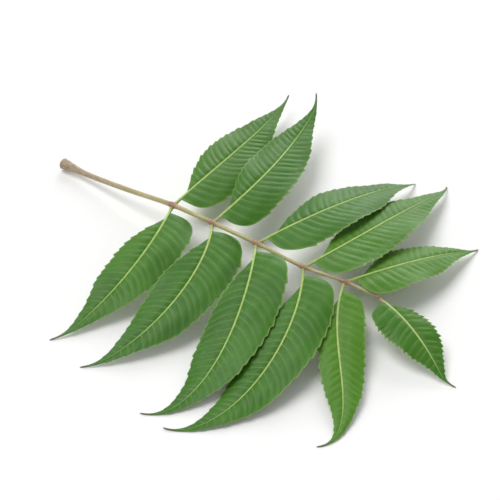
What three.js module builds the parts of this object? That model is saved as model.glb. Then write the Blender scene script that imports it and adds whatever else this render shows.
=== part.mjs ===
import * as THREE from 'three';

// One compound neem leaf, as picked, lying on a flat surface with its upper side showing.
// Millimetres and degrees. +X runs along the rachis towards the leaf's tip, +Z is up, and the
// surface is z = 0. The left leaflets grow towards -Y and the right ones towards +Y.

// ---- Driving dimensions ----

// The centre line of the petiole and rachis, from the swollen foot to the foot of the end leaflet.
const petiolePoints = [[-93, 6.5, 2.3], [-80, 5.5, 3.4], [-60, 4, 6.8]];
const pairJoints = [[-39, 3.5, 10], [-20, 1.5, 12.5], [0, 0, 14], [20.5, -1, 14], [36, 2, 12.5]];
const endJoint = [49, 4, 10];

const footRadius = 2.2;
const footLength = 7;
const petioleRadius = 1.05;
const rachisEndRadius = 0.5;
const jointSwelling = 0.35;
const jointSwellingLength = 1.6;
const grooveDepth = 0.2;
const rachisSides = 12;
const rachisStep = 2.2;

const bladeThickness = { foot: 0.4, tip: 0.24 };
const ribDepth = { foot: 0.45, tip: 0.09 };
const ribHalfWidth = { foot: 0.5, tip: 0.14 };
const leastWidthToRib = 1.6;
const petioluleRadius = 0.55;
const petioluleLength = 3;
const gapToRachis = 0.3;
const bladeRingSize = 12;

const foldRise = 0.1;
const marginDroop = 0.16;
const marginWave = 0.5;
const wavesPerBlade = 2.5;

// The half of a blade on the side of the leaf's tip is the broad one. It begins at the blade's
// foot, and the half on the side of the petiole begins a little further out.
const broadHalf = { start: 0.008, widest: 0.17, curve: 3, shoulder: 0.32, width: 1.26 };
const narrowHalf = { start: 0.05, widest: 0.38, curve: 2, shoulder: 1.1, width: 0.92 };
const tipTaper = 1.18;
// Towards its tip a blade narrows further, to this share of the width it would have.
const drawnOut = { from: 0.66, to: 0.86, share: 0.62 };

const teethPerSide = 14;
const firstTooth = 0.12;
const lastTooth = 0.88;
const toothDepth = 0.6;
const toothPeak = 0.72;
const rowsBeforeTeeth = [0, 0.02, 0.05, 0.085];
const rowsAfterTeeth = [0.92, 0.96, 1];

// Where each leaflet goes. joint: the pair it belongs to. reach: from its joint to its tip, along
// X and Y. tipHeight: above the surface, and rests says that it is the tip that touches it.
// heading: of the midrib at its foot and its tip, from the leaf's tip round to the leaflet's own
// side. pitch: of the midrib at both ends, upwards. roll: how far the broad half is raised, at
// the foot and at the tip.
const leafletShapes = {
  leaflet_left_1: {
    joint: 0, side: -1, reach: [-1, -73], width: 9.5, rests: true, tipHeight: 0,
    heading: [72, 110], pitch: [6, -12], roll: [-5, -3],
  },
  leaflet_left_2: {
    joint: 1, side: -1, reach: [-4, -76], width: 10.5, rests: true, tipHeight: 0,
    heading: [60, 126], pitch: [6, -8], roll: [-6, -3],
  },
  leaflet_left_3: {
    joint: 2, side: -1, reach: [6, -81], width: 10.5, rests: true, tipHeight: 0,
    heading: [62, 136], pitch: [6, 8], roll: [4, 8],
  },
  leaflet_left_4: {
    joint: 3, side: -1, reach: [-5, -81], width: 10, rests: true, tipHeight: 0,
    heading: [59, 148], pitch: [-2, 8], roll: [3, 2],
  },
  leaflet_left_5: {
    joint: 4, side: -1, reach: [29, -62], width: 7.5, rests: true, tipHeight: 0,
    heading: [76, 108], pitch: [-8, -3], roll: [0, -2],
  },
  leaflet_right_1: {
    joint: 0, side: 1, reach: [2, 80], width: 9.5, rests: false, tipHeight: 7,
    heading: [84, 92], pitch: [3, 2], roll: [-6, -3],
  },
  leaflet_right_2: {
    joint: 1, side: 1, reach: [-3, 82], width: 9.5, rests: false, tipHeight: 14,
    heading: [77, 98], pitch: [12, 14], roll: [-6, -3],
  },
  leaflet_right_3: {
    joint: 2, side: 1, reach: [27, 72], width: 10, rests: true, tipHeight: 0,
    heading: [62, 78], pitch: [10, -34], roll: [4, 10],
  },
  leaflet_right_4: {
    joint: 3, side: 1, reach: [19, 78], width: 10, rests: true, tipHeight: 0,
    heading: [68, 82], pitch: [2, -26], roll: [4, 5],
  },
  leaflet_right_5: {
    joint: 4, side: 1, reach: [28, 51], width: 8.5, rests: true, tipHeight: 0,
    heading: [60, 62], pitch: [-3, -27], roll: [5, 0],
  },
  leaflet_end: {
    joint: 5, side: 1, reach: [38, -17], width: 7.5, rests: true, tipHeight: 0,
    heading: [-14, -34], pitch: [2, -24], roll: [0, 0],
  },
};
const footHandle = 0.38;
const tipHandle = 0.3;

const leafletGreen = 0x4f8b49;
const youngGreen = 0x63a23c;
const rachisTan = 0xb3ad74;
const youngLeaflets = ['leaflet_left_5', 'leaflet_end'];

// ---- Shared geometry ----

const up = new THREE.Vector3(0, 0, 1);
const linePoints = [...petiolePoints, ...pairJoints, endJoint].map((p) => new THREE.Vector3(...p));
const joints = linePoints.slice(petiolePoints.length);

function between(from, to, share) {
  return from + (to - from) * share;
}

// A closed body through rings of equal size, with a flat fan at each end.
function loft(rings) {
  const size = rings[0].length;
  const positions = rings.flat().flatMap((point) => point.toArray());
  const faces = [];
  for (let row = 0; row < rings.length - 1; row += 1) {
    for (let k = 0; k < size; k += 1) {
      const a = row * size + k;
      const b = row * size + ((k + 1) % size);
      faces.push(a, b, b + size, a, b + size, a + size);
    }
  }
  const last = (rings.length - 1) * size;
  for (let k = 1; k < size - 1; k += 1) {
    faces.push(0, k + 1, k);
    faces.push(last, last + k, last + k + 1);
  }
  const geometry = new THREE.BufferGeometry();
  geometry.setAttribute('position', new THREE.Float32BufferAttribute(positions, 3));
  geometry.setIndex(faces);
  geometry.computeVertexNormals();
  return geometry;
}

// ---- Petiole and rachis ----

function rachisRadiusAt(point) {
  const [start, end] = [linePoints[0], linePoints[linePoints.length - 1]];
  const share = Math.max(0, (point.x - start.x) / (end.x - start.x));
  const fromFoot = point.distanceTo(start) / footLength;
  const foot = (footRadius - petioleRadius) * Math.exp(-(fromFoot ** 2));
  const stem = between(petioleRadius, rachisEndRadius, share ** 1.2);
  const nearest = Math.min(...joints.map((joint) => joint.distanceTo(point)));
  const node = jointSwelling * Math.exp(-((nearest / jointSwellingLength) ** 2));
  return stem + foot + node;
}

// A round section, drawn anticlockwise seen from the leaf's tip, with a groove along its top.
function rachisRing(point, along, radius) {
  const across = new THREE.Vector3().crossVectors(up, along).normalize();
  const above = new THREE.Vector3().crossVectors(along, across);
  const ring = [];
  for (let k = 0; k < rachisSides; k += 1) {
    const angle = (k / rachisSides) * 2 * Math.PI;
    const groove = k === 0 ? grooveDepth : 0;
    const reach = radius * (1 - groove);
    ring.push(point.clone()
      .addScaledVector(above, reach * Math.cos(angle))
      .addScaledVector(across, -reach * Math.sin(angle)));
  }
  return ring;
}

function rachisGeometry() {
  const line = new THREE.CatmullRomCurve3(linePoints, false, 'centripetal');
  const spans = linePoints.length - 1;
  const rings = [];
  for (let span = 0; span < spans; span += 1) {
    const steps = Math.ceil(linePoints[span].distanceTo(linePoints[span + 1]) / rachisStep);
    for (let k = span === 0 ? 0 : 1; k <= steps; k += 1) {
      const t = (span + k / steps) / spans;
      const point = line.getPoint(t);
      rings.push(rachisRing(point, line.getTangent(t), rachisRadiusAt(point)));
    }
  }
  return loft(rings);
}

// ---- Leaflets ----

function direction(heading, pitch, side) {
  const turn = THREE.MathUtils.degToRad(heading) * side;
  const climb = THREE.MathUtils.degToRad(pitch);
  return new THREE.Vector3(
    Math.cos(climb) * Math.cos(turn), Math.cos(climb) * Math.sin(turn), Math.sin(climb));
}

// How far from its joint a petiolule begins, so that its cut-off round end stays clear of the
// side of the rachis. The end leaflet begins straight ahead of the rachis.
function footDistance(shape) {
  if (shape.joint === pairJoints.length) {
    return gapToRachis;
  }
  const lean = THREE.MathUtils.degToRad(shape.heading[0]);
  const side = rachisRadiusAt(joints[shape.joint]) + gapToRachis;
  return (side + petioluleRadius * Math.cos(lean)) / Math.sin(lean);
}

function midribOf(shape, tipHeight) {
  const joint = joints[shape.joint];
  const outward = direction(shape.heading[0], shape.pitch[0], shape.side);
  const homeward = direction(shape.heading[1], shape.pitch[1], shape.side);
  const foot = joint.clone().addScaledVector(outward, footDistance(shape));
  const tip = new THREE.Vector3(
    joint.x + shape.reach[0], joint.y + shape.reach[1], tipHeight);
  const span = foot.distanceTo(tip);
  return new THREE.CubicBezierCurve3(
    foot, foot.clone().addScaledVector(outward, span * footHandle),
    tip.clone().addScaledVector(homeward, -span * tipHandle), tip);
}

// Half the width of a blade, as a share of its widest, from 0 at its foot to 1 at its tip.
function outlineAt(s, half) {
  const climb = (s - half.start) / (half.widest - half.start);
  if (climb <= 0) {
    return 0;
  }
  if (s < half.widest) {
    return half.width * (1 - (1 - climb) ** half.curve) ** half.shoulder;
  }
  const fall = (s - half.widest) / (1 - half.widest);
  const taper = Math.max(0, Math.cos((Math.PI / 2) * fall)) ** tipTaper;
  const narrowing = THREE.MathUtils.smoothstep(s, drawnOut.from, drawnOut.to);
  return half.width * taper * between(1, drawnOut.share, narrowing);
}

// The rows of a blade: two for each tooth, at its notch and at its point.
function bladeRows() {
  const rows = rowsBeforeTeeth.map((s) => ({ s, tooth: 0 }));
  const pitch = (lastTooth - firstTooth) / teethPerSide;
  for (let k = 0; k < teethPerSide; k += 1) {
    rows.push({ s: firstTooth + k * pitch, tooth: 0 });
    rows.push({ s: firstTooth + (k + toothPeak) * pitch, tooth: 1 });
  }
  rows.push(...[lastTooth, ...rowsAfterTeeth].map((s) => ({ s, tooth: 0 })));
  return rows;
}

// One section across a blade: five points over the top and seven back along the underside,
// where the midrib stands out. across points to the broad half, and above to the upper side.
function bladeRing(frame, shape, row) {
  const rib = between(ribHalfWidth.foot, ribHalfWidth.tip, row.s);
  const tooth = row.tooth * toothDepth * Math.sin(Math.PI * Math.sqrt(row.s));
  const reachOf = (half) => (
    Math.max(rib * leastWidthToRib, shape.width * outlineAt(row.s, half) + tooth));
  const broad = reachOf(broadHalf);
  const narrow = reachOf(narrowHalf);
  const wave = Math.sin(2 * Math.PI * wavesPerBlade * row.s + shape.reach[0]);
  const thickness = between(bladeThickness.foot, bladeThickness.tip, row.s);
  const ridge = between(ribDepth.foot, ribDepth.tip, row.s);
  const place = (sideways, depth) => {
    const reach = sideways > 0 ? broad : narrow;
    const u = Math.abs(sideways) / reach;
    const lift = reach * (foldRise * u - marginDroop * u * u);
    const ripple = marginWave * wave * u * u * (reach / shape.width);
    return frame.point.clone()
      .addScaledVector(frame.across, sideways)
      .addScaledVector(frame.above, lift + ripple - depth);
  };
  const top = [-narrow, -narrow / 2, 0, broad / 2, broad].map((x) => place(x, 0));
  const underBroad = [broad, broad / 2, rib].map((x) => place(x, thickness));
  const underNarrow = [-rib, -narrow / 2, -narrow].map((x) => place(x, thickness));
  return [...top, ...underBroad, place(0, thickness + ridge), ...underNarrow];
}

// A round section of the petiolule, with its points in the same order as a blade's.
function petioluleRing(frame) {
  const ring = [];
  for (let k = 0; k < bladeRingSize; k += 1) {
    const angle = Math.PI - (k / bladeRingSize) * 2 * Math.PI;
    ring.push(frame.point.clone()
      .addScaledVector(frame.across, petioluleRadius * Math.cos(angle))
      .addScaledVector(frame.above, petioluleRadius * (Math.sin(angle) - 1)));
  }
  return ring;
}

function frameAt(midrib, t, shape) {
  const along = midrib.getTangent(t);
  const across = new THREE.Vector3().crossVectors(up, along).normalize();
  const roll = THREE.MathUtils.degToRad(between(shape.roll[0], shape.roll[1], t));
  across.multiplyScalar(-shape.side);
  across.applyAxisAngle(along, -shape.side * roll);
  const above = new THREE.Vector3().crossVectors(along, across).multiplyScalar(-shape.side);
  return { point: midrib.getPoint(t), across, above };
}

function leafletGeometry(shape, tipHeight) {
  const midrib = midribOf(shape, tipHeight);
  const bladeStart = petioluleLength / midrib.getLength();
  const rings = [0, bladeStart / 2].map((t) => petioluleRing(frameAt(midrib, t, shape)));
  for (const row of bladeRows()) {
    const t = between(bladeStart, 1, row.s);
    rings.push(bladeRing(frameAt(midrib, t, shape), shape, row));
  }
  // Seen from the tip, the ring of a leaflet on the left runs the other way round.
  const ordered = shape.side < 0 ? rings.map((ring) => [...ring].reverse()) : rings;
  return loft(ordered);
}

function lowestPoint(geometry) {
  geometry.computeBoundingBox();
  return geometry.boundingBox.min.z;
}

// A leaflet that rests on the surface has its tip raised until its lowest point touches it.
function settledGeometry(shape) {
  let tipHeight = shape.tipHeight;
  let geometry = leafletGeometry(shape, tipHeight);
  for (let round = 0; shape.rests && round < 4; round += 1) {
    tipHeight -= lowestPoint(geometry);
    geometry = leafletGeometry(shape, tipHeight);
  }
  return geometry;
}

// ---- The leaf ----

function addPiece(parent, name, geometry, color, roughness) {
  const material = new THREE.MeshStandardMaterial({ color, roughness, metalness: 0 });
  const mesh = new THREE.Mesh(geometry, material);
  mesh.name = name;
  parent.add(mesh);
}

const leaf = new THREE.Group();
addPiece(leaf, 'rachis', rachisGeometry(), rachisTan, 0.6);
for (const [name, shape] of Object.entries(leafletShapes)) {
  const color = youngLeaflets.includes(name) ? youngGreen : leafletGreen;
  addPiece(leaf, name, settledGeometry(shape), color, 0.5);
}

// The origin is under the middle of the whole leaf, on the surface it lies on.
const box = new THREE.Box3().setFromObject(leaf);
const middle = box.getCenter(new THREE.Vector3());
leaf.position.set(-middle.x, -middle.y, -box.min.z);

const group = new THREE.Group();
group.name = 'neem_leaf';
group.add(leaf);

export default group;
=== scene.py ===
import math

import bpy
import numpy as np
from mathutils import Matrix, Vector


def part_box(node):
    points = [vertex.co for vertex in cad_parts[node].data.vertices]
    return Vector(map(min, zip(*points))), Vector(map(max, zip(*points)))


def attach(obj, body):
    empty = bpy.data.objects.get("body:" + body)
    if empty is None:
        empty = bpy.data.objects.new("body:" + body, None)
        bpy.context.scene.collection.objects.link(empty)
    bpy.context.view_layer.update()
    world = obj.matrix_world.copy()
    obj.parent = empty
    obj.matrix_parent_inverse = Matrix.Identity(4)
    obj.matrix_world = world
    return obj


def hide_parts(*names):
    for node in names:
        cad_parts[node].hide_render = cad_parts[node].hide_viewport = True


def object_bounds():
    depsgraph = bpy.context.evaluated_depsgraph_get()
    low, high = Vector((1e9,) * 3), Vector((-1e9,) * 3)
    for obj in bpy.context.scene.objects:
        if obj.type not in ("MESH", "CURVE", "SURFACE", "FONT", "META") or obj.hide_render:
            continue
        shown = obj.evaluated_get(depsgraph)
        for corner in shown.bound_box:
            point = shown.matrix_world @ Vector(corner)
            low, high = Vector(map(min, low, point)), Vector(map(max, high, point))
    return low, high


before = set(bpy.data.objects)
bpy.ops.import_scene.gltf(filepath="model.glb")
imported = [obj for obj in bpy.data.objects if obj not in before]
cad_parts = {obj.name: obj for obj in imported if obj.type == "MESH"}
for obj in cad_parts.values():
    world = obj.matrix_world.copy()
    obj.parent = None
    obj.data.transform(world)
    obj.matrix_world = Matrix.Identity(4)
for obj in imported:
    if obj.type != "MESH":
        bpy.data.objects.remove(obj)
cad_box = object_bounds()
scene = bpy.context.scene


# ---- Petiole and rachis ----
# One fresh green stalk, about 145 mm long, that carries all the leaflets. It grows as one piece:
# a swollen foot with the scar where it left the twig, a thin grooved stem, and a slightly
# thicker, blushed joint at each pair of leaflets.

STALK_LINE = np.array([
    (-93, 6.5, 2.3), (-80, 5.5, 3.4), (-60, 4, 6.8), (-39, 3.5, 10), (-20, 1.5, 12.5),
    (0, 0, 14), (20.5, -1, 14), (36, 2, 12.5), (49, 4, 10)], float)
JOINTS = STALK_LINE[3:]
FOOT_RADIUS, STEM_RADIUS, END_RADIUS = 2.2, 1.05, 0.5
FOOT_LENGTH = 7
JOINT_SWELLING, JOINT_LENGTH = 0.35, 1.6

# From the stalk's own frame to the leaf's place, in mm and good to 0.1. In the stalk's frame its
# foot ends at about x = -93.2 and the second right leaflet at about y = 83.6. The surface is
# z = 0 in both.
PLACE = np.array([
    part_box("rachis")[0].x * 1000 + 93.25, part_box("leaflet_right_2")[1].y * 1000 - 83.53, 0])


def to_metres(points):
    return (np.asarray(points) + PLACE) / 1000


def linear(code, alpha=1.0):
    """An sRGB hex colour as the linear colour that the shaders take."""
    shares = [int(code[i:i + 2], 16) / 255 for i in (0, 2, 4)]
    return [s / 12.92 if s <= 0.04045 else ((s + 0.055) / 1.055) ** 2.4 for s in shares] + [alpha]


def add_node(tree, kind, inputs=None, **settings):
    """Adds one node. inputs maps a socket's name or number to a value or to another socket."""
    node = tree.nodes.new(kind)
    for name, value in settings.items():
        setattr(node, name, value)
    for key, value in (inputs or {}).items():
        if isinstance(value, bpy.types.NodeSocket):
            tree.links.new(value, node.inputs[key])
        else:
            node.inputs[key].default_value = value
    return node


def new_material(name):
    """An empty procedural material: its tree and its shader, which already feeds the output."""
    material = bpy.data.materials.new(name)
    material.use_nodes = True
    tree = material.node_tree
    return material, tree, tree.nodes["Principled BSDF"]


def blend_colour(tree, share, first, second):
    """first where share is 0 and second where it is 1."""
    node = add_node(tree, "ShaderNodeMix", {0: share, 6: first, 7: second}, data_type="RGBA")
    return node.outputs[2]


def ramp(tree, value, low, high, start=0.0, end=1.0):
    """value's way from low to high, as start to end, and held there beyond them."""
    sockets = {"Value": value, "From Min": low, "From Max": high, "To Min": start, "To Max": end}
    return add_node(tree, "ShaderNodeMapRange", sockets, interpolation_type="SMOOTHSTEP").outputs[0]


def attribute(tree, name):
    return add_node(tree, "ShaderNodeAttribute", attribute_name=name).outputs["Fac"]


def multiply(tree, first, second):
    return add_node(tree, "ShaderNodeMath", {0: first, 1: second}, operation="MULTIPLY").outputs[0]


def grain(tree, size_mm, stretch=(1, 1, 1), detail=2.0):
    """Noise whose patches are about size_mm across, drawn out along the axes stretch makes longer."""
    place = add_node(tree, "ShaderNodeTexCoord").outputs["Object"]
    scale = [1000 / size_mm / length for length in stretch]
    placed = add_node(tree, "ShaderNodeMapping", {"Vector": place, "Scale": scale}).outputs[0]
    noise = add_node(tree, "ShaderNodeTexNoise", {"Vector": placed, "Scale": 1.0, "Detail": detail})
    return noise.outputs["Fac"]


def through_points(points, steps):
    """A smooth centripetal curve through points, with its steps in each span."""
    ends = [2 * points[0] - points[1], *points, 2 * points[-1] - points[-2]]
    line = []
    for k in range(len(points) - 1):
        a, b, c, d = ends[k:k + 4]
        ab, bc, cd = (max(np.linalg.norm(q - p), 1e-6) ** 0.5 for p, q in ((a, b), (b, c), (c, d)))
        leaving = ((b - a) / ab - (c - a) / (ab + bc) + (c - b) / bc) * bc
        arriving = ((c - b) / bc - (d - b) / (bc + cd) + (d - c) / cd) * bc
        for t in np.linspace(0, 1, steps, endpoint=False):
            line.append(b + leaving * t + (3 * (c - b) - 2 * leaving - arriving) * t ** 2
                        + (2 * (b - c) + leaving + arriving) * t ** 3)
    return np.array(line + [points[-1]])


def stalk_radius(points):
    """The stalk's radius in mm at each of points."""
    start, end = STALK_LINE[0], STALK_LINE[-1]
    share = np.clip((points[:, 0] - start[0]) / (end[0] - start[0]), 0, 1)
    foot = (FOOT_RADIUS - STEM_RADIUS) * np.exp(-(np.linalg.norm(points - start, axis=1) / FOOT_LENGTH) ** 2)
    to_joint = np.min([np.linalg.norm(points - joint, axis=1) for joint in JOINTS], axis=0)
    joint = JOINT_SWELLING * np.exp(-(to_joint / JOINT_LENGTH) ** 2)
    return STEM_RADIUS + (END_RADIUS - STEM_RADIUS) * share ** 1.2 + foot + joint


def line_object(name, lines, values):
    """Open lines, as an object of edges only. values holds one list per line for each attribute."""
    points = np.concatenate([to_metres(line) for line in lines])
    edges, first = [], 0
    for line in lines:
        edges += [(k, k + 1) for k in range(first, first + len(line) - 1)]
        first += len(line)
    mesh = bpy.data.meshes.new(name)
    mesh.from_pydata(points.tolist(), edges, [])
    for key, lists in values.items():
        mesh.attributes.new(key, "FLOAT", "POINT").data.foreach_set("value", np.concatenate(lists))
    thing = bpy.data.objects.new(name, mesh)
    scene.collection.objects.link(thing)
    return thing


def sweep_tree(name):
    """Sweeps a round section, with an optional groove along its top, along each line. The line's
    thickness attribute is the section's radius, and warts are scattered over it by a fixed seed."""
    tree = bpy.data.node_groups.new(name, "GeometryNodeTree")
    sockets = (("Lines", "Geometry", None), ("Section points", "Int", 12), ("Groove depth", "Float", 0.0),
               ("Warts per square metre", "Float", 0.0), ("Wart radius", "Float", 0.00012),
               ("Seed", "Int", 1), ("Material", "Material", None))
    for label, kind, value in sockets:
        socket = tree.interface.new_socket(label, in_out="INPUT", socket_type="NodeSocket" + kind)
        if value is not None:
            socket.default_value = value
    tree.interface.new_socket("Swept", in_out="OUTPUT", socket_type="NodeSocketGeometry")
    given = add_node(tree, "NodeGroupInput").outputs

    curve = add_node(tree, "GeometryNodeMeshToCurve", {"Mesh": given["Lines"]}).outputs[0]
    level = add_node(tree, "GeometryNodeSetCurveNormal", {"Curve": curve}, mode="Z_UP").outputs[0]
    thickness = add_node(tree, "GeometryNodeInputNamedAttribute", {"Name": "thickness"}).outputs[0]

    section = add_node(tree, "GeometryNodeCurvePrimitiveCircle",
                       {"Resolution": given["Section points"], "Radius": 1.0}).outputs[0]
    spot = add_node(tree, "GeometryNodeInputPosition").outputs[0]
    height = add_node(tree, "ShaderNodeSeparateXYZ", {0: spot}).outputs["Y"]
    in_groove = add_node(tree, "ShaderNodeMapRange", {
        "Value": height, "From Min": 0.75, "From Max": 1.0, "To Min": 0.0, "To Max": given["Groove depth"]})
    inwards = add_node(tree, "ShaderNodeMath", {0: 0.0, 1: in_groove.outputs[0]}, operation="SUBTRACT")
    offset = add_node(tree, "ShaderNodeCombineXYZ", {"Y": inwards.outputs[0]}).outputs[0]
    grooved = add_node(tree, "GeometryNodeSetPosition", {"Geometry": section, "Offset": offset}).outputs[0]

    swept = add_node(tree, "GeometryNodeCurveToMesh", {
        "Curve": level, "Profile Curve": grooved, "Scale": thickness, "Fill Caps": True}).outputs[0]
    smooth = add_node(tree, "GeometryNodeSetShadeSmooth", {"Geometry": swept}).outputs[0]

    scatter = add_node(tree, "GeometryNodeDistributePointsOnFaces", {
        "Mesh": smooth, "Density": given["Warts per square metre"], "Seed": given["Seed"]})
    wart = add_node(tree, "GeometryNodeMeshIcoSphere", {
        "Radius": given["Wart radius"], "Subdivisions": 2}).outputs[0]
    marked = add_node(tree, "GeometryNodeStoreNamedAttribute", {
        "Geometry": wart, "Name": "wart", "Value": 1.0}, data_type="FLOAT", domain="POINT").outputs[0]
    size = add_node(tree, "FunctionNodeRandomValue", {2: 0.5, 3: 1.2, "Seed": given["Seed"]})
    flat = add_node(tree, "ShaderNodeCombineXYZ", {0: size.outputs[1], 1: size.outputs[1], 2: 0.35})
    warts = add_node(tree, "GeometryNodeInstanceOnPoints", {
        "Points": scatter.outputs["Points"], "Instance": marked,
        "Rotation": scatter.outputs["Rotation"], "Scale": flat.outputs[0]}).outputs[0]
    round_warts = add_node(tree, "GeometryNodeSetShadeSmooth", {"Geometry": warts}).outputs[0]

    both = add_node(tree, "GeometryNodeJoinGeometry")
    tree.links.new(round_warts, both.inputs[0])
    tree.links.new(smooth, both.inputs[0])
    solid = add_node(tree, "GeometryNodeRealizeInstances", {"Geometry": both.outputs[0]}).outputs[0]
    painted = add_node(tree, "GeometryNodeSetMaterial", {"Geometry": solid, "Material": given["Material"]})
    add_node(tree, "NodeGroupOutput", {0: painted.outputs[0]})
    return tree


def grown(thing, tree, **sizes):
    """Runs the tree on thing with the sizes named, and leaves its result as a plain mesh."""
    modifier = thing.modifiers.new("growth", "NODES")
    modifier.node_group = tree
    wanted = {label.replace("_", " "): value for label, value in sizes.items()}
    for item in tree.interface.items_tree:
        if item.in_out == "INPUT" and item.name in wanted:
            modifier[item.identifier] = wanted[item.name]
    bpy.context.view_layer.update()
    depsgraph = bpy.context.evaluated_depsgraph_get()
    mesh = bpy.data.meshes.new_from_object(thing.evaluated_get(depsgraph))
    thing.modifiers.clear()
    thing.data = mesh
    return thing


# Living stalk skin: smooth and waxy with fine grooves along it, tan-green, blushed pink-brown at
# its joints and greyer towards the foot, with paler warts and a dry corky scar at its very end.
stalk_skin, tree, shader = new_material("fresh stalk skin, smooth and waxy")
along = grain(tree, 0.5, stretch=(14, 1, 1), detail=3)
patches = grain(tree, 9)
green = blend_colour(tree, ramp(tree, patches, 0.35, 0.65), linear("aaa56c"), linear("bfb486"))
streaked = blend_colour(tree, ramp(tree, along, 0.45, 0.75, 0, 0.5), green, linear("8f9455"))
greyed = blend_colour(tree, attribute(tree, "foot"), streaked, linear("a6957c"))
blushed = blend_colour(tree, multiply(tree, attribute(tree, "blush"), ramp(tree, patches, 0.2, 0.6, 0.6, 1)),
                       greyed, linear("9c735f"))
wrinkles = grain(tree, 0.9, stretch=(2.5, 1, 1), detail=4)
# Painted shade: the hollows of the wrinkles near the foot are darkened towards brown.
painted_crease_shade = multiply(tree, attribute(tree, "foot"), ramp(tree, wrinkles, 0.5, 0.35, 0, 0.55))
darkened = blend_colour(tree, painted_crease_shade, blushed, linear("7a5c45"))
scarred = blend_colour(tree, attribute(tree, "scar"), darkened, linear("5f4632"))
warty = blend_colour(tree, multiply(tree, attribute(tree, "wart"), 0.7), scarred, linear("d3c6a4"))
rough = multiply(tree, attribute(tree, "foot"), multiply(tree, wrinkles, 3.0))
both = add_node(tree, "ShaderNodeMath", {0: along, 1: rough}, operation="ADD").outputs[0]
relief = add_node(tree, "ShaderNodeBump", {"Height": both, "Strength": 0.6, "Distance": 0.00012}).outputs[0]
tree.links.new(warty, shader.inputs["Base Color"])
tree.links.new(ramp(tree, along, 0.2, 0.8, 0.42, 0.58), shader.inputs["Roughness"])
tree.links.new(relief, shader.inputs["Normal"])
shader.inputs["Subsurface Weight"].default_value = 0.1
shader.inputs["Subsurface Radius"].default_value = (1.0, 0.8, 0.3)
shader.inputs["Subsurface Scale"].default_value = 0.0006

# The foot's end is rounded over, and two shallow wrinkles run round it. The far end closes small.
stalk_line = through_points(STALK_LINE, 40)
thickness = stalk_radius(stalk_line)
from_foot = np.linalg.norm(stalk_line - stalk_line[0], axis=1)
thickness *= np.sqrt(np.clip(0.06 + from_foot / 0.9, 0, 1))
first_wrinkle = 0.07 * np.exp(-((from_foot - 2.1) / 0.5) ** 2)
second_wrinkle = 0.05 * np.exp(-((from_foot - 4.3) / 0.6) ** 2)
thickness *= 1 - first_wrinkle - second_wrinkle
thickness[-1] *= 0.3
to_joint = np.min([np.linalg.norm(stalk_line - joint, axis=1) for joint in JOINTS], axis=0)
stalk = line_object("stalk", [stalk_line], {
    "thickness": [thickness / 1000],
    "blush": [np.exp(-(to_joint / 2.6) ** 2)],
    "foot": [np.exp(-(from_foot / 34) ** 2)],
    "scar": [np.exp(-(from_foot / 0.55) ** 4)]})
sweep = sweep_tree("swept stalk and veins")
grown(stalk, sweep, Section_points=28, Groove_depth=0.22, Warts_per_square_metre=260000.0,
      Wart_radius=0.00016, Seed=7, Material=stalk_skin)
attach(stalk, "root")
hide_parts("rachis")


# ---- Leaflet blades ----
# Eleven sickle-shaped blades, each a thin leathery sheet of green tissue with a broad half
# towards the leaf's tip. Each grew with forward-pointing teeth, a surface quilted between
# its side veins, and a drawn-out dry tip.

# In the stalk's own frame. joint: the one it grows from. reach: from there to its tip, in mm.
# width: a usual half's. tip: its tip's height, or None where the leaflet rests on the surface.
# heading, pitch, roll: of its midrib in degrees, at foot and tip. yellow: how much of its green is
# still young. coarse: how much deeper its teeth are. dark: how much of it is the deepest green.
LEAFLETS = {
    "left_1": dict(joint=0, side=-1, reach=(-1, -73), width=9.5, tip=None,
                   heading=(72, 110), pitch=(6, -12), roll=(-5, -3), yellow=0.15),
    "left_2": dict(joint=1, side=-1, reach=(-4, -76), width=10.5, tip=None,
                   heading=(60, 126), pitch=(6, -8), roll=(-6, -3), yellow=0.0, dark=0.2),
    "left_3": dict(joint=2, side=-1, reach=(6, -81), width=10.5, tip=None,
                   heading=(62, 136), pitch=(6, 8), roll=(4, 8), yellow=0.0),
    "left_4": dict(joint=3, side=-1, reach=(-5, -81), width=10, tip=None,
                   heading=(59, 148), pitch=(-2, 8), roll=(3, 2), yellow=0.05),
    "left_5": dict(joint=4, side=-1, reach=(29, -62), width=7.5, tip=None,
                   heading=(76, 108), pitch=(-8, -3), roll=(0, -2), yellow=0.5),
    "right_1": dict(joint=0, side=1, reach=(2, 80), width=9.5, tip=7,
                    heading=(84, 92), pitch=(3, 2), roll=(-6, -3), yellow=0.2, dark=0.8),
    "right_2": dict(joint=1, side=1, reach=(-3, 82), width=9.5, tip=14,
                    heading=(77, 98), pitch=(12, 14), roll=(-6, -3), yellow=0.05, dark=0.7),
    "right_3": dict(joint=2, side=1, reach=(27, 72), width=10, tip=None,
                    heading=(62, 78), pitch=(10, -34), roll=(4, 10), yellow=0.0, dark=0.4),
    "right_4": dict(joint=3, side=1, reach=(19, 78), width=10, tip=None,
                    heading=(68, 82), pitch=(2, -26), roll=(4, 5), yellow=0.3),
    "right_5": dict(joint=4, side=1, reach=(28, 51), width=8.5, tip=None,
                    heading=(60, 62), pitch=(-3, -27), roll=(5, 0), yellow=0.5),
    "end": dict(joint=5, side=1, reach=(38, -17), width=7.5, tip=None,
                heading=(-14, -34), pitch=(2, -24), roll=(0, 0), yellow=0.1, coarse=1.5, dark=0.9),
}
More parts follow.
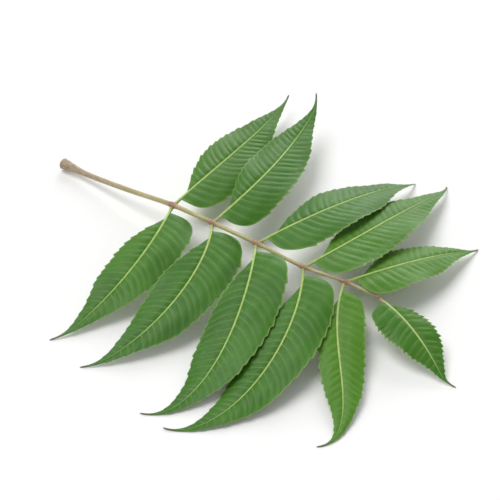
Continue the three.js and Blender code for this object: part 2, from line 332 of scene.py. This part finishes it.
# Each half's outline, by shares of the blade's length: where it starts and is widest, and from
# there it falls off. Towards the tip it narrows to DRAWN_OUT's shares of that, and to a thin tail.
BROAD = dict(start=0.008, widest=0.17, curve=3, shoulder=0.32, width=1.26)
NARROW = dict(start=0.05, widest=0.38, curve=2, shoulder=1.1, width=0.92)
TIP_TAPER = 1.18
DRAWN_OUT = ((0.58, 0.8, 0.93, 1), (1, 0.66, 0.38, 0.3))
TAIL_HALF_WIDTH, TAIL_START, TAIL_HOOK = 0.32, 0.84, 2.2
PETIOLULE_LENGTH, PETIOLULE_RADIUS, GAP_TO_STALK = 1.9, 0.55, 0.3
TEETH, FIRST_TOOTH, LAST_TOOTH, TOOTH_PEAK, TOOTH_DEPTH = 17, 0.12, 0.88, 0.74, 0.72
VEIN_SPACING, VEIN_LEAN, VEIN_BEND, VEINS_UPRIGHT = 3.0, 0.75, 0.05, 26

# A blade folds up a little from its midrib and droops again to its margins, by these shares of
# its width. It thins to its margins by a share too. Heights, depths and thicknesses are in mm.
FOLD_RISE, MARGIN_DROOP = 0.1, 0.16
MARGIN_WAVE, WAVES_PER_BLADE = 0.5, 2.5
QUILT_RISE, FURROW_DEPTH, FURROW_HALF_WIDTH = 0.17, 0.05, 0.45
CHANNEL_DEPTH, CHANNEL_HALF_WIDTH, RIPPLE_RISE = 0.14, 0.9, 0.16
THICKNESS_AT_FOOT, THINNING_TO_TIP, THINNING_TO_MARGIN = 0.34, 0.14, 0.6
UP = np.array([0.0, 0.0, 1.0])


def direction(heading, pitch, side):
    turn, climb = math.radians(heading) * side, math.radians(pitch)
    return np.array([math.cos(climb) * math.cos(turn), math.cos(climb) * math.sin(turn), math.sin(climb)])


def midrib_ends(leaflet):
    """The four control points of a leaflet's midrib, from its petiolule's foot to its tip."""
    joint = JOINTS[leaflet["joint"]]
    outward = direction(leaflet["heading"][0], leaflet["pitch"][0], leaflet["side"])
    homeward = direction(leaflet["heading"][1], leaflet["pitch"][1], leaflet["side"])
    lean = math.radians(leaflet["heading"][0])
    clear = stalk_radius(joint[None])[0] + GAP_TO_STALK
    is_end = leaflet["joint"] == len(JOINTS) - 1
    distance = GAP_TO_STALK if is_end else (clear + PETIOLULE_RADIUS * math.cos(lean)) / math.sin(lean)
    foot = joint + outward * distance
    tip = np.array([joint[0] + leaflet["reach"][0], joint[1] + leaflet["reach"][1], leaflet["tip_height"]])
    span = np.linalg.norm(tip - foot)
    return foot, foot + outward * span * 0.38, tip - homeward * span * 0.3, tip


def midrib_frame(leaflet, t):
    """The midrib's points at t, with its directions along, across to the broad half, and above."""
    a, b, c, d = midrib_ends(leaflet)
    t = np.asarray(t, float)[..., None]
    point = a * (1 - t) ** 3 + 3 * b * t * (1 - t) ** 2 + 3 * c * t ** 2 * (1 - t) + d * t ** 3
    along = (b - a) * (1 - t) ** 2 + 2 * (c - b) * t * (1 - t) + (d - c) * t ** 2
    along /= np.linalg.norm(along, axis=-1, keepdims=True)
    across = np.cross(UP, along)
    across *= -leaflet["side"] / np.linalg.norm(across, axis=-1, keepdims=True)
    roll = -leaflet["side"] * np.radians(leaflet["roll"][0] + (leaflet["roll"][1] - leaflet["roll"][0]) * t)
    across = across * np.cos(roll) + np.cross(along, across) * np.sin(roll)
    above = np.cross(along, across) * -leaflet["side"]
    on_tail = np.clip((t - TAIL_START) / (1 - TAIL_START), 0, 1)
    hook = TAIL_HOOK * (1 + 0.4 * math.sin(3 * leaflet["seed"])) * on_tail ** 2
    return point - across * hook, along, across, above


def half_width(leaflet, s, half):
    """A half's width in mm without its teeth, at s from the blade's foot to its tip."""
    climb = np.clip((s - half["start"]) / (half["widest"] - half["start"]), 0, 1)
    rise = (1 - (1 - climb) ** half["curve"]) ** half["shoulder"]
    fall = np.clip((s - half["widest"]) / (1 - half["widest"]), 0, 1)
    drop = np.cos(np.pi / 2 * fall) ** TIP_TAPER
    share = half["width"] * np.where(s < half["widest"], rise, drop) * np.interp(s, *DRAWN_OUT)
    at_foot = 0.45 * np.exp(-(s / 0.1) ** 2)
    tail = TAIL_HALF_WIDTH * np.clip((1 - s) / 0.012, 0.12, 1) ** 0.5
    return np.maximum(at_foot, np.hypot(leaflet["width"] * share, tail))


def tooth_height(leaflet, s):
    """How far the margin stands out in mm: a long rise to each point, then a short drop."""
    pitch = (LAST_TOOTH - FIRST_TOOTH) / TEETH
    place = (s - FIRST_TOOTH) / pitch
    phase = place % 1
    saw = np.where(phase < TOOTH_PEAK, (phase / TOOTH_PEAK) ** 0.85, (1 - phase) / (1 - TOOTH_PEAK))
    own_size = 1 + 0.3 * np.sin(2.7 * np.floor(place) + leaflet["seed"])
    inside = (s >= FIRST_TOOTH) & (s <= LAST_TOOTH)
    depth = TOOTH_DEPTH * leaflet.get("coarse", 1)
    return np.where(inside, saw * own_size, 0) * depth * np.sin(np.pi * np.sqrt(s))


def vein_starts(leaflet, half_sign):
    """Where along the midrib, in mm, the side veins of one half leave it."""
    chance = np.random.default_rng(leaflet["seed"] * 10 + (half_sign > 0))
    starts = np.arange(-0.5, leaflet["length"] * 0.94, VEIN_SPACING)
    return starts + chance.uniform(-0.6, 0.6, len(starts)) + (0.5 * VEIN_SPACING if half_sign > 0 else 0)


def vein_run(leaflet, s, sideways):
    """For points of the blade, the place along the midrib, in mm, that a vein through them left.
    Near the foot the veins leave it at right angles, and further out they lean to the tip."""
    x = s * leaflet["length"]
    return x - (VEIN_LEAN * sideways + VEIN_BEND * sideways ** 2) * x / (x + VEINS_UPRIGHT)


def to_nearest_vein(leaflet, s, sideways, half_sign):
    """The distance to the nearest side vein in mm, and the place between two veins as a share."""
    starts = vein_starts(leaflet, half_sign)
    run = vein_run(leaflet, s, sideways)
    after = np.clip(np.searchsorted(starts, run), 1, len(starts) - 1)
    before = starts[after - 1]
    gap = starts[after] - before
    share = np.clip((run - before) / gap, 0, 1)
    return np.minimum(share, 1 - share) * gap * 0.85, share


def blade_surface(leaflet, s, u):
    """Points of a blade's upper side, with the direction above them and the distance to a vein.
    s runs from foot to tip, and u from the narrow half's margin, -1, to the broad one's, 1."""
    t = leaflet["start"] + (1 - leaflet["start"]) * s
    point, along, across, above = midrib_frame(leaflet, t)
    size = np.abs(u)
    broad = u > 0
    width = np.where(broad, half_width(leaflet, s, BROAD), half_width(leaflet, s, NARROW))
    tooth = tooth_height(leaflet, s) * size ** 7
    sideways = size * width + tooth
    wave = np.sin(2 * np.pi * WAVES_PER_BLADE * s + leaflet["reach"][0])
    lift = width * (FOLD_RISE * size - MARGIN_DROOP * size ** 2)
    lift = lift + MARGIN_WAVE * wave * size ** 2 * width / leaflet["width"]

    near_broad, share_broad = to_nearest_vein(leaflet, s, sideways, 1)
    near_narrow, share_narrow = to_nearest_vein(leaflet, s, sideways, -1)
    near = np.where(broad, near_broad, near_narrow)
    share = np.where(broad, share_broad, share_narrow)
    room = np.clip(width / 5, 0, 1) * np.clip(size * width / 1.6, 0, 1) * np.clip((1 - size) / 0.4, 0, 1)
    uneven = 0.75 + 0.45 * np.sin(s * leaflet["length"] / 7.3 + leaflet["seed"] + 2 * np.sign(u) + 2 * size)
    quilt = QUILT_RISE * np.sin(np.pi * share) ** 0.8 * room * uneven
    furrow = -FURROW_DEPTH * np.exp(-(near / FURROW_HALF_WIDTH) ** 2) * room
    channel = -CHANNEL_DEPTH * np.exp(-(size * width / CHANNEL_HALF_WIDTH) ** 2)
    x, y = s * leaflet["length"], sideways * np.sign(u)
    lengthways = np.sin(x / 4.1 + 0.5 * y + leaflet["seed"])
    ripple = RIPPLE_RISE * lengthways * np.sin(y / 2.7 - x / 9 + 2 * leaflet["seed"])
    height = lift + quilt + furrow + channel + ripple * np.clip(size * width / 3, 0, 1)
    place = (point + across * (np.sign(u) * sideways)[..., None] + above * height[..., None]
             + along * (0.5 * tooth)[..., None])
    return place, above, near


def blade_points(leaflet, rows, columns):
    """The rings of a closed blade: over its top, round its rim, and back along its underside."""
    s, u = np.meshgrid(rows, columns, indexing="ij")
    top, above, near = blade_surface(leaflet, s, u)
    thick = (THICKNESS_AT_FOOT - THINNING_TO_TIP * s) * (1 - THINNING_TO_MARGIN * np.abs(u) ** 6)
    under = top - above * thick[..., None]
    rim = [(top[:, k] + under[:, k]) / 2 + (top[:, k] - top[:, n]) * 0.02 for k, n in ((-1, -2), (0, 1))]
    rings = np.concatenate([top, rim[0][:, None], under[:, ::-1], rim[1][:, None]], axis=1)
    ring_u = np.concatenate([columns, [1], columns[::-1], [-1]])
    ring_near = np.concatenate([near, near[:, -1:], near[:, ::-1], near[:, :1]], axis=1)
    return rings, ring_u, ring_near


def rows_of_blade():
    """s for each ring: fine at both ends, and 11 to a tooth with its point and notch among them."""
    pitch = (LAST_TOOTH - FIRST_TOOTH) / TEETH
    rising = np.linspace(0, TOOTH_PEAK, 8, endpoint=False)
    in_tooth = np.concatenate([rising, [TOOTH_PEAK, 0.83, 0.92]])
    teeth = [FIRST_TOOTH + (k + in_tooth) * pitch for k in range(TEETH)]
    foot = FIRST_TOOTH * np.linspace(0, 1, 20, endpoint=False) ** 1.5
    return np.concatenate([foot, *teeth, np.linspace(LAST_TOOTH, 1, 18)])


def settle(leaflet):
    """Finds a blade's start and length, and its tip's height. Where the leaflet is to rest, that is
    lowered or raised until its lowest point is on the surface, which takes a few rounds."""
    leaflet["tip_height"] = leaflet["tip"] or 0.0
    rows, columns = np.linspace(0, 1, 60), np.linspace(-1, 1, 21)
    for _ in range(5):
        midrib = midrib_frame(leaflet, np.linspace(0, 1, 200))[0]
        whole = np.sum(np.linalg.norm(np.diff(midrib, axis=0), axis=1))
        leaflet["start"] = PETIOLULE_LENGTH / whole
        leaflet["length"] = whole - PETIOLULE_LENGTH
        if leaflet["tip"] is None:
            leaflet["tip_height"] -= blade_points(leaflet, rows, columns)[0][..., 2].min()


def blade_mesh(name, leaflet):
    """A closed blade, its columns closest together at the midrib and at both margins."""
    rows = rows_of_blade()
    half = 0.5 * (1 - np.cos(np.pi * np.linspace(0, 1, 29)))
    columns = np.concatenate([-half[:0:-1], half])
    rings, ring_u, near = blade_points(leaflet, rows, columns)
    count, size = rings.shape[:2]
    quads = [(r * size + k, r * size + (k + 1) % size, (r + 1) * size + (k + 1) % size, (r + 1) * size + k)
             for r in range(count - 1) for k in range(size)]
    ends = [tuple(range(size))[::-1], tuple(range((count - 1) * size, count * size))]
    faces = quads + ends
    if leaflet["side"] < 0:
        faces = [face[::-1] for face in faces]
    mesh = bpy.data.meshes.new(name)
    mesh.from_pydata(to_metres(rings.reshape(-1, 3)).tolist(), [], faces)
    mesh.shade_smooth()

    s = np.repeat(rows, size)
    u = np.tile(ring_u, count)
    lean_to_foot = np.clip(1 - s / 0.5, 0, 1) * np.clip(-u, 0, 1)
    yellow = np.clip(leaflet["yellow"] * (1 + 2.5 * lean_to_foot) + 0.7 * np.exp(-(s / 0.02) ** 2), 0, 1)
    dark = np.full(len(s), leaflet.get("dark", 0.0))
    values = {"vein": np.exp(-(near.ravel() / 0.5) ** 2), "yellow": yellow, "dark": dark}
    for key, value in values.items():
        mesh.attributes.new(key, "FLOAT", "POINT").data.foreach_set("value", value)
    corner = np.zeros(len(mesh.loops), int)
    mesh.loops.foreach_get("vertex_index", corner)
    place = np.stack([0.5 + 0.5 * u[corner], s[corner]], axis=1)
    mesh.uv_layers.new(name="blade").data.foreach_set("uv", place.ravel())
    across_top = len(columns) - 1
    sides = [0 if k <= across_top or k == size - 1 else 1 for k in range(size)] * (count - 1) + [0, 0]
    mesh.polygons.foreach_set("material_index", sides)
    return mesh


def leaf_skin(name, colours, gloss, net_depth):
    """Leaf tissue. colours: full green, its darker patches and painted shade, its young green, veins, rim
    and tip.
    Its net of veinlets has meshes 0.75 mm wide, coarser than a real leaf's, so that they show."""
    full, deep, young, vein, rim, tip = [linear(colour) for colour in colours]
    material, tree, shader = new_material(name)
    place = add_node(tree, "ShaderNodeUVMap", uv_map="blade").outputs[0]
    across, along, _ = add_node(tree, "ShaderNodeSeparateXYZ", {0: place}).outputs
    from_midrib = add_node(tree, "ShaderNodeMath", {0: across, 1: 0.5}, operation="SUBTRACT").outputs[0]
    outwards = add_node(tree, "ShaderNodeMath", {0: from_midrib}, operation="ABSOLUTE").outputs[0]
    patches = grain(tree, 14, detail=3)
    mottle = grain(tree, 1.1, detail=3)
    spot = add_node(tree, "ShaderNodeTexCoord").outputs["Object"]
    net = add_node(tree, "ShaderNodeTexVoronoi", {"Vector": spot, "Scale": 1000 / 0.75},
                   feature="DISTANCE_TO_EDGE").outputs[0]
    veinlet = ramp(tree, net, 0.02, 0.12, 1, 0)

    green = blend_colour(tree, ramp(tree, patches, 0.35, 0.68), full, deep)
    green = blend_colour(tree, ramp(tree, mottle, 0.42, 0.7, 0, 0.4), green, deep)
    # Painted shade: the outer half of each blade is blended towards the deep green, so it grows darker
    # towards the tip.
    green = blend_colour(tree, ramp(tree, along, 0.5, 0.9, 0, 0.6), green, deep)
    green = blend_colour(tree, attribute(tree, "dark"), green, deep)
    ripening = multiply(tree, attribute(tree, "yellow"), ramp(tree, patches, 0.2, 0.7, 0.75, 1.0))
    green = blend_colour(tree, ripening, green, young)
    green = blend_colour(tree, multiply(tree, veinlet, 0.1), green, vein)
    green = blend_colour(tree, multiply(tree, attribute(tree, "vein"), 0.18), green, vein)
    green = blend_colour(tree, ramp(tree, outwards, 0.475, 0.497, 0, 0.75), green, rim)
    green = blend_colour(tree, ramp(tree, along, 0.9, 0.985), green, tip)
    tree.links.new(green, shader.inputs["Base Color"])

    fine = grain(tree, 0.22)
    sunk_net, pores = multiply(tree, veinlet, -0.45), multiply(tree, fine, 0.6)
    relief = add_node(tree, "ShaderNodeMath", {0: sunk_net, 1: pores}, operation="ADD").outputs[0]
    bump = add_node(tree, "ShaderNodeBump", {"Height": relief, "Strength": 0.6, "Distance": net_depth})
    tree.links.new(bump.outputs[0], shader.inputs["Normal"])
    tree.links.new(ramp(tree, mottle, 0.3, 0.75, gloss - 0.04, gloss + 0.08), shader.inputs["Roughness"])
    shader.inputs["Specular IOR Level"].default_value = 0.28
    shader.inputs["Subsurface Weight"].default_value = 0.12
    shader.inputs["Subsurface Radius"].default_value = (0.5, 1.0, 0.2)
    shader.inputs["Subsurface Scale"].default_value = 0.0005
    return material


# Upper skin of a full-grown leaflet: waxy cuticle that gives a soft grey sheen over deep green,
# with a net of veinlets pressed into it and a thin pale rim.
mature_skin = leaf_skin("full-grown leaf, waxy upper side",
                        ("3d7716", "306511", "57891c", "71983f", "829f52", "4f4f3a"), 0.4, 0.00005)
# The same skin on the youngest leaflets: thinner and yellower, so lighter under the same wax.
young_skin = leaf_skin("young leaf, waxy upper side",
                       ("3d7714", "326a10", "5a8d1b", "7aa242", "86a54c", "5c5b3a"), 0.39, 0.00005)
# Underside: no gloss to speak of, paler and greyer, with its net of veinlets standing out.
under_skin = leaf_skin("leaf underside, matt and pale",
                       ("76915c", "6b8752", "87a25a", "a9bc83", "a0b27e", "6f6c50"), 0.62, 0.00006)

for number, (name, leaflet) in enumerate(LEAFLETS.items()):
    leaflet["seed"] = number + 1
    settle(leaflet)
    blade = bpy.data.objects.new("blade_" + name, blade_mesh("blade_" + name, leaflet))
    scene.collection.objects.link(blade)
    is_young = name in ("left_5", "end")
    blade.data.materials.append(young_skin if is_young else mature_skin)
    blade.data.materials.append(under_skin)
    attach(blade, "root")
    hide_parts("leaflet_" + name)


# ---- Petiolules and midribs ----
# Each blade hangs on one pale, juicy strand: a short round petiolule that leaves the stalk at
# its joint, and runs on as the midrib, nearly flush on top and standing out underneath, until
# it fades into the blade near the tip.

RIB_RADIUS_AT_FOOT, RIB_RADIUS_AT_TIP, RIB_END = 0.5, 0.07, 0.965

# Strand tissue: smooth, moist and pale yellow-green, blushed where it leaves the stalk, and
# greener where it thins out.
rib_skin, tree, shader = new_material("midrib strand, smooth and pale")
streaks = grain(tree, 1.6, detail=3)
pale = blend_colour(tree, ramp(tree, streaks, 0.35, 0.7), linear("b3ca76"), linear("a0ba61"))
fading = blend_colour(tree, ramp(tree, attribute(tree, "outwards"), 0.45, 0.93), pale, linear("5d8f45"))
blushed = blend_colour(tree, attribute(tree, "blush"), fading, linear("a28264"))
tree.links.new(blushed, shader.inputs["Base Color"])
tree.links.new(ramp(tree, streaks, 0.2, 0.8, 0.4, 0.52), shader.inputs["Roughness"])
fine = grain(tree, 0.18)
relief = add_node(tree, "ShaderNodeBump", {"Height": fine, "Strength": 0.4, "Distance": 0.00005}).outputs[0]
tree.links.new(relief, shader.inputs["Normal"])
shader.inputs["Subsurface Weight"].default_value = 0.15
shader.inputs["Subsurface Radius"].default_value = (1.0, 1.0, 0.4)
shader.inputs["Subsurface Scale"].default_value = 0.0006

lines, radii, outwards, blush = [], [], [], []
for leaflet in LEAFLETS.values():
    (foot,), _, _, (above,) = midrib_frame(leaflet, np.array([0.0]))
    joint = JOINTS[leaflet["joint"]]
    inside = joint + (foot - joint) * 0.25
    stem_t = np.linspace(0, leaflet["start"], 9, endpoint=False)
    stem, _, _, stem_above = midrib_frame(leaflet, stem_t)
    stem_radius = PETIOLULE_RADIUS + 0.18 * np.exp(-(np.linalg.norm(stem - foot, axis=1) / 0.9) ** 2)
    s = np.linspace(0, RIB_END, 90)
    rib, _, _, rib_above = midrib_frame(leaflet, leaflet["start"] + (1 - leaflet["start"]) * s)
    sunk = np.clip(1 - s / 0.06, 0, 1)
    radius = RIB_RADIUS_AT_FOOT * (1 - s) ** 0.8 + RIB_RADIUS_AT_TIP
    centre = rib - rib_above * (radius * (0.78 + 0.1 * sunk))[:, None]
    stem_centre = stem - stem_above * PETIOLULE_RADIUS
    lines.append(np.concatenate([[inside - above * 0.3], stem_centre, centre]))
    radii.append(np.concatenate([[0.6], stem_radius, radius]) / 1000)
    outwards.append(np.concatenate([np.zeros(len(stem) + 1), s]))
    to_joint = np.linalg.norm(lines[-1] - joint, axis=1)
    blush.append(0.75 * np.exp(-(to_joint / 2.6) ** 2))
midribs = line_object("midribs", lines, {"thickness": radii, "outwards": outwards, "blush": blush})
grown(midribs, sweep, Section_points=14, Material=rib_skin)
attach(midribs, "root")


# ---- Side veins ----
# Some thirty-six fine strands to a blade, which leave the midrib, bend towards the tip and end
# just short of the margin. Each lies in a furrow on top, and shows below as a ridge.

# The same strand tissue, thinner: only a little paler than the blade that it runs through.
vein_skin, tree, shader = new_material("side vein strand, smooth")
streaks = grain(tree, 2.5)
light = blend_colour(tree, ramp(tree, streaks, 0.35, 0.7), linear("6b9448"), linear("5f8a40"))
fading = blend_colour(tree, ramp(tree, attribute(tree, "outwards"), 0.2, 1.0), light, linear("47752f"))
tree.links.new(fading, shader.inputs["Base Color"])
tree.links.new(ramp(tree, streaks, 0.2, 0.8, 0.42, 0.52), shader.inputs["Roughness"])

VEIN_RADIUS, VEIN_TAPER, VEIN_REACH = 0.15, 0.7, 0.95
top_lines, top_radii, top_outwards, under_lines = [], [], [], []
for leaflet in LEAFLETS.values():
    for sign, half in ((1, BROAD), (-1, NARROW)):
        for start in vein_starts(leaflet, sign):
            reach = np.linspace(0.25, 16, 240)
            lean = VEIN_LEAN * reach + VEIN_BEND * reach ** 2
            ahead = start + lean - VEINS_UPRIGHT
            x = (ahead + np.sqrt(ahead ** 2 + 4 * VEINS_UPRIGHT * max(start, 0))) / 2
            s = x / leaflet["length"]
            width = half_width(leaflet, np.clip(s, 0, 1), half)
            inside = (s > 0) & (s < 0.95) & (reach < VEIN_REACH * width)
            if inside.sum() < 30:
                continue
            steps = np.flatnonzero(inside)[np.linspace(0, inside.sum() - 1, 20).astype(int)]
            s, u = s[steps], sign * reach[steps] / width[steps]
            points, above, _ = blade_surface(leaflet, s, u)
            share = np.linspace(0, 1, len(steps))
            radius = VEIN_RADIUS * (1 - VEIN_TAPER * share)
            top_lines.append(points - above * (radius * 0.3)[:, None])
            top_radii.append(radius / 1000)
            top_outwards.append(share)
            under_lines.append((points - above * 0.25)[::2])
veins = line_object("side_veins", top_lines, {"thickness": top_radii, "outwards": top_outwards})
grown(veins, sweep, Section_points=5, Material=vein_skin)
under_veins = line_object("under_side_veins", under_lines, {
    "thickness": [radius[::2] for radius in top_radii], "outwards": [share[::2] for share in top_outwards]})
grown(under_veins, sweep, Section_points=6, Material=rib_skin)
for piece in (veins, under_veins):
    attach(piece, "root")


# ---- Table and light ----
# A plain white table top, large enough to fill any view, in a white-walled studio: a large soft
# light high on the left, a weaker one low at the back that gives the leaves their sheen, and
# walls that are bright near the floor and dim overhead.

white, tree, shader = new_material("white laminate, matt")
speckle = grain(tree, 60)
tree.links.new(blend_colour(tree, speckle, linear("f6f6f5"), linear("fafaf9")), shader.inputs["Base Color"])
shader.inputs["Roughness"].default_value = 0.7
half_side = 6.0
floor_mesh = bpy.data.meshes.new("table_top")
floor_mesh.from_pydata([(-half_side, -half_side, 0), (half_side, -half_side, 0),
                        (half_side, half_side, 0), (-half_side, half_side, 0)], [], [(0, 1, 2, 3)])
floor = bpy.data.objects.new("table_top", floor_mesh)
floor.data.materials.append(white)
scene.collection.objects.link(floor)


def back_towards(azimuth, elevation):
    """The direction from the leaf to a viewer or a light. At azimuth 0 that looks along +Y."""
    a, e = math.radians(azimuth), math.radians(elevation)
    return Vector((math.sin(a) * math.cos(e), -math.cos(a) * math.cos(e), math.sin(e)))


def soft_light(name, azimuth, elevation, spread, strength):
    """A large light far away: spread is its width in degrees as the leaf sees it."""
    lamp = bpy.data.lights.new(name, "SUN")
    lamp.angle = math.radians(spread)
    lamp.energy = strength
    holder = bpy.data.objects.new(name, lamp)
    holder.rotation_euler = back_towards(azimuth, elevation).to_track_quat("Z", "Y").to_euler()
    scene.collection.objects.link(holder)


soft_light("high_light", 275, 66, 40, 1.7)
soft_light("low_back_light", 198, 24, 36, 1.25)

world = bpy.data.worlds.new("white-walled studio")
world.use_nodes = True
tree = world.node_tree
upwards = add_node(tree, "ShaderNodeTexCoord").outputs["Generated"]
height = add_node(tree, "ShaderNodeSeparateXYZ", {0: upwards}).outputs["Z"]
walls = blend_colour(tree, ramp(tree, height, 0.05, 0.55), linear("ffffff"), linear("a6a6a6"))
tree.links.new(walls, tree.nodes["Background"].inputs["Color"])
scene.world = world
scene.view_settings.view_transform = "Standard"

lens = bpy.data.cameras.new("camera")
lens.lens = 145
lens.clip_start = 0.01
camera = bpy.data.objects.new("camera", lens)
low, high = (Vector(corner) for corner in cad_box)
viewer = back_towards(33, 44.5)
distance = 0.73
camera.location = (low + high) / 2 + viewer * distance
camera.rotation_euler = viewer.to_track_quat("Z", "Y").to_euler()
scene.collection.objects.link(camera)
scene.camera = camera
